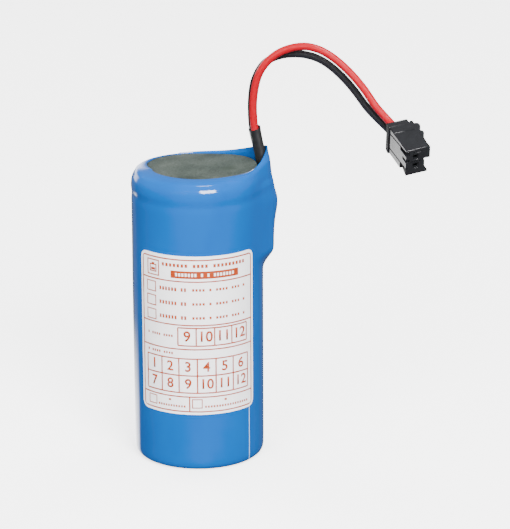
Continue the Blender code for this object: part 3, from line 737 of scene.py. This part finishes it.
class Printer:
    """Collects flat printed rectangles, in millimetres across the round and up the label."""

    def __init__(self):
        self.marks = []

    def bar(self, left, low, right, high):
        self.marks.append((left, low, right, high))

    def line(self, left, right, height, width=LINE):
        self.bar(left, height - width / 2, right, height + width / 2)

    def upright(self, across, low, high, width=LINE):
        self.bar(across - width / 2, low, across + width / 2, high)

    def frame(self, left, low, right, high, width=LINE):
        self.line(left - width / 2, right + width / 2, low, width)
        self.line(left - width / 2, right + width / 2, high, width)
        self.upright(left, low, high, width)
        self.upright(right, low, high, width)

    def blocks(self, left, right, middle, height, gaps, count):
        """A row of equal small blocks with some left out, standing for a line of print."""
        pitch = (right - left) / count
        for k in range(count):
            if k not in gaps:
                x = left + k * pitch
                self.bar(x, middle - height / 2, x + BLOCK_SHARE * pitch, middle + height / 2)

    def piece(self, name, material, lift):
        """Lay every mark down: a strip of squares, cut apart, each set to its mark's corners."""
        deselect()
        bpy.ops.mesh.primitive_grid_add(x_subdivisions=len(self.marks), y_subdivisions=1, size=MM,
                                        rotation=(pi / 2, 0, 0))
        piece = bpy.context.object
        piece.name = name
        settle(piece)
        edit_all()
        bpy.ops.mesh.edge_split(type="EDGE")
        leave_edit()
        for square, (left, low, right, high) in zip(piece.data.polygons, self.marks):
            corners = ((left, low), (right, low), (right, high), (left, high))
            for vert, (across, up) in zip(square.vertices, corners):
                piece.data.vertices[vert].co = Vector((across, 0.0, up)) * MM
        lay_ink(piece, material, lift)


def lay_ink(piece, material, lift):
    """Roll a flat printed piece round the label as a thin layer of ink."""
    edit_all()
    slice_upright(0.75)
    leave_edit()
    wrap(piece, LABEL_RADIUS + lift)
    give_wall(piece, INK)
    dress(piece, material)


def number(text, across, height, size):
    """One printed number, flat in the XZ plane, centred on its place."""
    deselect()
    bpy.ops.object.text_add(rotation=(pi / 2, 0, 0))
    item = bpy.context.object
    item.data.body = text
    item.data.size = size * MM
    item.data.align_x = "CENTER"
    item.data.align_y = "CENTER"
    item.data.resolution_u = 4
    item.data.offset = 0.07 * MM
    item.location = (across * MM, 0, height * MM)
    bpy.ops.object.convert(target="MESH")
    return settle(bpy.context.object)


def make_numbers(finishes, places):
    """All the label's numbers as one printed piece."""
    items = [number(*place) for place in places]
    deselect()
    for item in items:
        item.select_set(True)
    bpy.context.view_layer.objects.active = items[0]
    bpy.ops.object.join()
    piece = bpy.context.object
    piece.name = "printed_numbers"
    lay_ink(piece, finishes["orange_ink"], 0.02)


def make_print(finishes):
    """The printed border, tables, tick boxes, rows of blocks and numbers."""
    top, header, types, footer, low = 54.93, 49.4, 38.2, 19.55, 15.7
    right = PRINT_HALF
    orange = Printer()
    for height in (top, header, types, footer, low):
        inset = CORNER if height in (top, low) else 0.0
        orange.line(-right + inset, right - inset, height)
    for side in (-1, 1):
        orange.upright(side * right, low + CORNER, top - CORNER)
    inner, upper, lower, dot = right - CORNER, top - CORNER, low + CORNER, 0.13
    for cx, cz, start in ((inner, upper, 0), (-inner, upper, 90),
                          (-inner, lower, 180), (inner, lower, 270)):
        for k in range(6):
            middle = radians(start + 9 + 15 * k)
            x = cx + CORNER * cos(middle)
            z = cz + CORNER * sin(middle)
            orange.bar(x - dot, z - dot, x + dot, z + dot)

    # a plain battery sign in the header's corner
    orange.frame(-13.4, 50.3, -9.9, 54.1, 0.3)
    orange.frame(-12.6, 51.2, -10.7, 52.9, 0.3)
    orange.bar(-12.1, 53.05, -11.2, 53.4)
    orange.bar(-12.3, 51.5, -11.0, 52.1)
    orange.blocks(-8.9, 13.2, 53.45, 0.85, (7, 12), 22)
    orange.bar(-6.5, 50.2, 10.9, 52.1)

    for height in (47.3, 43.7, 40.1):
        orange.frame(-13.7, height - 1.25, -10.9, height + 1.25, 0.26)
        orange.blocks(-9.7, -2.3, height, 0.95, (6,), 9)
        orange.blocks(-1.1, 13.2, height, 0.65, (4, 6, 11, 15), 17)

    dividers = [-4.8, -0.22, 4.36, 8.94, 13.52]
    for across in dividers:
        orange.upright(across, 32.9, 37.5)
    orange.line(dividers[0], dividers[-1], 37.5)
    orange.line(dividers[0], dividers[-1], 32.9)
    orange.blocks(-13.6, -5.9, 35.2, 0.6, (1, 6), 11)
    orange.line(-right, right, 31.95)
    orange.blocks(-13.6, -5.9, 30.75, 0.6, (1, 6), 11)
    edge = 13.9
    for height in (29.5, 25.1, 20.6):
        orange.line(-edge, edge, height)
    step = 2 * edge / 6
    for k in range(7):
        orange.upright(-edge + step * k, 20.6, 29.5)
    orange.upright(-2.0, low, footer)
    orange.frame(-13.4, 16.7, -11.0, 18.9, 0.24)
    orange.frame(-1.3, 16.7, 1.1, 18.9, 0.24)
    orange.blocks(-10.4, -2.8, 17.0, 0.55, (), 11)
    orange.bar(-7.4, 18.3, -6.8, 18.8)
    orange.blocks(1.8, 14.0, 17.0, 0.55, (), 17)
    orange.bar(6.8, 18.3, 7.4, 18.8)
    orange.piece("printed_lines", finishes["orange_ink"], 0.02)

    white = Printer()
    white.blocks(-5.3, 9.9, 51.15, 0.8, (7, 9, 11), 19)
    white.piece("printed_reversed", finishes["white_ink"], 0.04)

    places = []
    for k in range(4):
        places.append((str(9 + k), dividers[k] + 2.29, 35.2, 3.75))
    for k in range(12):
        places.append((str(k + 1), -edge + step * (k % 6 + 0.5), 27.3 if k < 6 else 22.85, 3.6))
    make_numbers(finishes, places)


# ---------------- top disc, leads and lead sleeve

DISC_CUT = 15.2                # how far out the disc's straight cut is
DISC_LIFT = 1.1                # how far the disc is lifted at its cut
TUBE_LOW = 73.95               # the shrunk tube's ends
TUBE_HIGH = 82.75


def make_top_disc(finishes):
    """The paper disc, cut straight where the leads pass it, with soft edges."""
    low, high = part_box("top_disc")
    deselect()
    bpy.ops.mesh.primitive_circle_add(vertices=160, radius=-low[0], fill_type="NGON",
                                      location=(0, 0, low[2]))
    piece = bpy.context.object
    piece.name = "paper_disc"
    settle(piece)
    edit_all()
    notch = Vector((cos(radians(BOARD_AZIMUTH)), sin(radians(BOARD_AZIMUTH)), 0))
    bpy.ops.mesh.bisect(plane_co=notch * DISC_CUT * MM, plane_no=notch, clear_outer=True)
    bpy.ops.mesh.select_all(action="SELECT")
    raise_mesh(high[2] - low[2])
    for step in range(1, 12):
        bpy.ops.mesh.select_all(action="SELECT")
        bpy.ops.mesh.bisect(plane_co=notch * (3.0 + step) * MM, plane_no=notch)
    leave_edit()
    for vert in piece.data.vertices:
        along = max(0.0, vert.co.dot(notch) / MM - 4.0) / 11.0
        vert.co.z += DISC_LIFT * MM * along ** 2
    face_out(piece)
    ease_edges(piece, 0.12, 60)
    smooth(piece, 40)
    dress(piece, finishes["fish_paper"])
    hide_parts("top_disc")


def tube_place(lines, part, angle):
    """A place on the shrunk tube, by its share of the way up and its turn round both leads."""
    height = TUBE_LOW + (TUBE_HIGH - TUBE_LOW) * part
    ends = []
    for line in lines:
        ends.append(Vector([float(np.interp(height, line[:, 2], line[:, k])) for k in range(3)]))
    across = (ends[1] - ends[0]).normalized()
    side = across.cross(Vector((-0.22, 0.0, 1.0)).normalized()).normalized()
    middle = (ends[0] + ends[1]) / 2 + side * 0.18
    long_way = LEAD_SPACING / 2 + LEAD_DIAMETER / 2 + 0.42
    short_way = LEAD_DIAMETER / 2 + 0.50 + 0.05 * sin(9 * part) * part
    waist = 1.0 - 0.06 * sin(angle) ** 8
    place = middle + across * long_way * cos(angle) + side * short_way * waist * sin(angle)
    place.z += (0.25 * sin(angle) - 0.12 * cos(angle)) * max(0.0, part - 0.9) * 10
    return place


def drawn_ring(name, radius, sides, rows):
    """A ring of edges drawn up into an open tube, one millimetre to a row, faces out."""
    deselect()
    bpy.ops.mesh.primitive_circle_add(vertices=sides, radius=radius * MM, fill_type="NOTHING")
    piece = bpy.context.object
    piece.name = name
    edit_all()
    for _ in range(rows - 1):
        raise_mesh(MM)
    bpy.ops.mesh.select_all(action="SELECT")
    bpy.ops.mesh.normals_make_consistent(inside=False)
    leave_edit()
    return piece


def make_lead_sleeve(finishes, red, black):
    """The shrunk tube over both leads: flattened, drawn in between them, with a slanted cut."""
    rows = 34
    piece = drawn_ring("shrink_tube", 1.0, 48, rows)
    rising = 60                # places along each lead that still go up
    lines = [np.array(line)[:rising] for line in (red, black)]
    for vert in piece.data.vertices:
        part = round(vert.co.z / MM) / (rows - 1)
        vert.co = tube_place(lines, part, atan2(vert.co.y, vert.co.x)) * MM
    face_out(piece)
    give_wall(piece, 0.25)
    smooth(piece, 40)
    dress(piece, finishes["shrink_black"])
    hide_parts("lead_sleeve")
    return piece


def make_leads(finishes, red, black, pieces):
    """Both leads as round tubes, from the board's joints to their cavities in the plug."""
    for name, places, finish, node, contact in (
            ("lead_red", red, "red_insulation", "red_lead", "contact_positive"),
            ("lead_black", black, "black_insulation", "black_lead", "contact_negative")):
        piece = tube_mesh(name, places, LEAD_DIAMETER / 2, 28)
        dress(piece, finishes[finish])
        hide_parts(node)
        on_it = [frame["nodes"][contact]]
        if name == "lead_red":
            on_it += pieces


# ---------------- the plug

def plug_block(name, low, high, bevel):
    """A block of the plug's moulding in its own frame, edges eased."""
    deselect()
    middle = [(a + b) / 2 * MM for a, b in zip(low, high)]
    bpy.ops.mesh.primitive_cube_add(size=1.0, location=middle)
    piece = bpy.context.object
    piece.name = name
    piece.scale = [(b - a) * MM for a, b in zip(low, high)]
    settle(piece)
    if bevel:
        edit_all()
        bpy.ops.mesh.bevel(offset=bevel * MM, segments=3, affect="EDGES")
        leave_edit()
    return piece


def combine(base, others, operation):
    """Join or cut blocks with a Boolean, then drop them."""
    for other in others:
        modifier = base.modifiers.new(other.name, "BOOLEAN")
        modifier.operation = operation
        modifier.object = other
    apply_modifiers(base)
    for other in others:
        bpy.data.objects.remove(other, do_unlink=True)
    return base


def place_in_plug(piece, name):
    """Move a piece made in the plug's frame to its place on the pack."""
    piece.name = name
    piece.data.transform(PLUG)
    smooth(piece, 32)
    even = piece.modifiers.new("even", "WEIGHTED_NORMAL")
    even.keep_sharp = True
    even.weight = 100
    return apply_modifiers(piece)


def slanted(piece, tilt, axis, pivot):
    """Tilt a cutter about one of the plug's axes, at a place on it in millimetres."""
    middle = Vector(pivot) * MM
    piece.data.transform(Matrix.Translation(-middle))
    piece.data.transform(Matrix.Rotation(radians(tilt), 4, axis))
    piece.data.transform(Matrix.Translation(middle))
    return piece


def make_housing(finishes):
    """The moulded housing: flange, body, top plate, nose block and foot, then all its cuts."""
    w, h, length = 2.5, 3.65, PLUG_LENGTH         # half width, half height
    past = length + 1                             # cuts run out past the nose
    body = plug_block("plug_body", (0.6, -w, -h), (length, 2.35, h), 0.14)
    added = [
        plug_block("rear_flange", (0.0, -w - 0.3, -h - 0.2), (1.9, w + 0.3, h + 0.2), 0.16),
        plug_block("top_step", (1.2, -w + 0.1, h - 0.4), (4.4, 2.9, h + 0.17), 0.12),
        plug_block("top_plate", (1.2, 1.8, 3.3), (length, 3.3, h - 0.005), 0.1),
        plug_block("nose_block", (10.2, 1.8, 0.35), (length, 3.72, h - 0.16), 0.14),
        plug_block("foot", (1.2, 1.8, -h + 0.005), (length, 3.1, -2.95), 0.12),
    ]
    combine(body, added, "UNION")
    cuts = [plug_block("lever_pocket", (-1, 2.1, 0.3), (10.15, 3.4, 3.25), 0.0),
            plug_block("lever_room", (1.95, 3.31, 0.3), (10.15, 6.0, 5.0), 0.0)]
    for z in (PLUG_PITCH / 2, -PLUG_PITCH / 2):
        for name, start, end, half, bevel in (("cavity", -1, length - 1.0, 1.075, 0.2),
                                              ("pin_hole", length - 2, past, 0.6, 0.0),
                                              ("pin_lead_in", length - 0.3, past, 0.82, 0.1)):
            cuts.append(plug_block(name, (start, -half, z - half), (end, half, z + half), bevel))
    out = -w - 1                                  # and out past the side with the windows
    for name, low, high, bevel, tilt in (
            ("upper_window", (8.3, out, 1.75), (past, -w + 0.9, 3.0), 0.1, None),
            ("nose_slot", (9.7, out, 0.0), (past, -w + 0.9, 0.85), 0.08, None),
            ("lower_window", (8.4, -w - 2, -h - 1), (length + 1.5, -w + 0.03, -1.6), 0.1,
             (-10.0, "Z", (length, -w + 0.03, 0))),
            ("upper_groove", (2.0, out, 1.97), (length + 2, -w + 0.5, 2.37), 0.05,
             (-5.2, "Y", (2.0, 0, 2.19))),
            ("lower_groove", (2.0, out, -2.22), (length + 2, -w + 0.5, -1.80), 0.05,
             (-2.0, "Y", (2.0, 0, -1.94))),
            ("flange_taper", (-2.0, -w - 3.3, -h - 1), (2.2, -w - 0.3, h + 1), 0.0,
             (-9.0, "Z", (1.8, -w - 0.3, 0))),
            ("nose_groove", (length - 0.45, out, -0.22), (past, 4.0, 0.26), 0.05, None),
            ("nose_recess", (length - 0.35, -0.75, 2.3), (past, 1.5, 2.9), 0.05, None),
            ("side_undercut", (10.2, 1.65, -0.1), (past, 4.0, 0.4), 0.05, None)):
        cut = plug_block(name, low, high, bevel)
        cuts.append(slanted(cut, *tilt) if tilt else cut)
    combine(body, cuts, "DIFFERENCE")
    piece = place_in_plug(body, "plug_housing")
    dress(piece, finishes["plug_black"])
    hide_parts("connector_housing")
    return piece


def make_lever(finishes):
    """The latch lever: a springy bar with three grip ridges and a catch."""
    deselect()
    low, high = 0.65, 3.2
    outline = [(0.2, 3.42), (9.9, 3.42), (9.9, 3.8), (7.0, 4.05), (6.35, 4.2), (6.05, 4.7),
               (5.5, 4.88), (4.9, 4.78), (4.5, 4.35), (4.2, 4.28), (3.75, 4.38), (3.35, 4.95),
               (2.5, 5.2), (1.75, 5.1), (1.45, 4.55), (1.38, 4.2), (1.3, 4.05), (1.1, 4.15),
               (0.7, 4.2), (0.35, 4.1), (0.2, 3.75)]
    bpy.ops.mesh.primitive_circle_add(vertices=len(outline), radius=MM, fill_type="NGON")
    piece = bpy.context.object
    for vert, (along, out) in zip(piece.data.vertices, outline):
        vert.co = Vector((along, out, low)) * MM
    edit_all()
    raise_mesh((high - low) * MM)
    bpy.ops.mesh.select_all(action="SELECT")
    bpy.ops.mesh.normals_make_consistent(inside=False)
    leave_edit()
    root = plug_block("lever_root", (7.2, 2.7, low), (9.9, 3.6, high), 0.0)
    combine(piece, [root], "UNION")
    ease_edges(piece, 0.09, 35)
    piece = place_in_plug(piece, "plug_lever")
    dress(piece, finishes["plug_black"], body="latch")
    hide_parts("latch_lever")
    return piece


# ---------------- the rest

def finish_cad_nodes(finishes):
    """Give every carried-over node its slot's finish."""
    slots = {entry["node"]: entry["material_slot"] for entry in frame["record"]["subparts"]}
    for name, node in frame["nodes"].items():
        node.data.materials.clear()
        node.data.materials.append(finishes[slots[name]])


def make_sky():
    """A white room with a low window behind, dim below the horizon apart from a white card."""
    world = bpy.data.worlds.new("studio")
    bpy.context.scene.world = world
    world.use_nodes = True
    tree = world.node_tree
    look = tree.nodes.new("ShaderNodeTexCoord")
    split = tree.nodes.new("ShaderNodeSeparateXYZ")
    tree.links.new(look.outputs["Generated"], split.inputs["Vector"])
    behind = map_range(tree, split.outputs["Y"], 0.62, 0.72, 0.0, 1.0)
    left = map_range(tree, split.outputs["X"], -0.02, 0.10, 1.0, 0.0)
    strong = map_range(tree, split.outputs["Z"], -0.36, -0.32, 6.5, 0.1)
    card = worked(tree, "MULTIPLY_ADD", worked(tree, "MULTIPLY", behind, left), strong, 0.17)
    high = map_range(tree, split.outputs["Z"], -0.04, 0.04, 0.0, 1.0)
    low_band = map_range(tree, split.outputs["Z"], 0.20, 0.27, 5.0, 0.0)
    far_left = map_range(tree, split.outputs["X"], -0.12, -0.04, 1.0, 0.0)
    window = worked(tree, "MULTIPLY", low_band, far_left)
    upper = worked(tree, "MULTIPLY_ADD", window, behind, 0.26)
    mix = tree.nodes.new("ShaderNodeMix")
    mix.data_type = "FLOAT"
    tree.links.new(high, mix.inputs["Factor"])
    tree.links.new(card, mix.inputs["A"])
    tree.links.new(upper, mix.inputs["B"])
    tree.links.new(mix.outputs["Result"], tree.nodes["Background"].inputs["Strength"])
    tree.nodes["Background"].inputs["Color"].default_value = (1.0, 1.0, 1.0, 1.0)


def make_room():
    """A pale floor and six soft boxes, two of which glossy pieces mirror."""
    deselect()
    bpy.ops.mesh.primitive_plane_add(size=6.0, location=(0, 0, -0.00005))
    floor = bpy.context.object
    floor.name = "floor"
    floor.visible_glossy = False
    floor.visible_diffuse = False
    material, tree, shader = finish_nodes("floor_white", (0.92, 0.92, 0.92), 0.9,
                                          Specular_IOR_Level=0.1, Emission_Strength=2.3)
    shader.inputs["Emission Color"].default_value = (1.0, 1.0, 1.0, 1.0)
    cloud = ramp(tree, object_noise(tree, 3.0), (0.915, 0.915, 0.915), (0.925, 0.925, 0.925))
    tree.links.new(cloud, shader.inputs["Base Color"])
    floor.data.materials.append(material)
    make_sky()
    for place, size, power, mirrored in (((0.0, 0.0, 1.2), (0.8, 0.8), 8.0, False),
                                         ((0.17, -0.30, 1.15), (0.36, 0.3), 5.5, True),
                                         ((0.31, -0.80, 0.54), (0.45, 0.34), 27.0, True),
                                         ((-0.45, -0.75, 0.45), (0.50, 0.50), 13.0, False),
                                         ((0.60, 0.65, 0.50), (0.50, 0.50), 8.0, False),
                                         ((-0.60, 0.65, 0.50), (0.50, 0.50), 8.0, False)):
        bpy.ops.object.light_add(type="AREA", location=place)
        lamp = bpy.context.object
        lamp.data.shape = "RECTANGLE"
        lamp.data.size = size[0]
        lamp.data.size_y = size[1]
        lamp.data.energy = power
        lamp.visible_glossy = mirrored
        towards = Vector((0, 0, 0.05)) - Vector(place)
        lamp.rotation_euler = towards.to_track_quat("-Z", "Y").to_euler()


def main():
    make_camera()
    finishes = make_finishes()
    finish_cad_nodes(finishes)
    housing = make_housing(finishes)
    lever = make_lever(finishes)
    red = lead_places(RED_ROUTE, PLUG_PITCH / 2)
    black = lead_places(BLACK_ROUTE, -PLUG_PITCH / 2)
    tube = make_lead_sleeve(finishes, red, black)
    make_leads(finishes, red, black, [housing, lever, tube])
    make_sleeve(finishes)
    make_label(finishes)
    make_print(finishes)
    make_top_disc(finishes)
    make_room()


main()
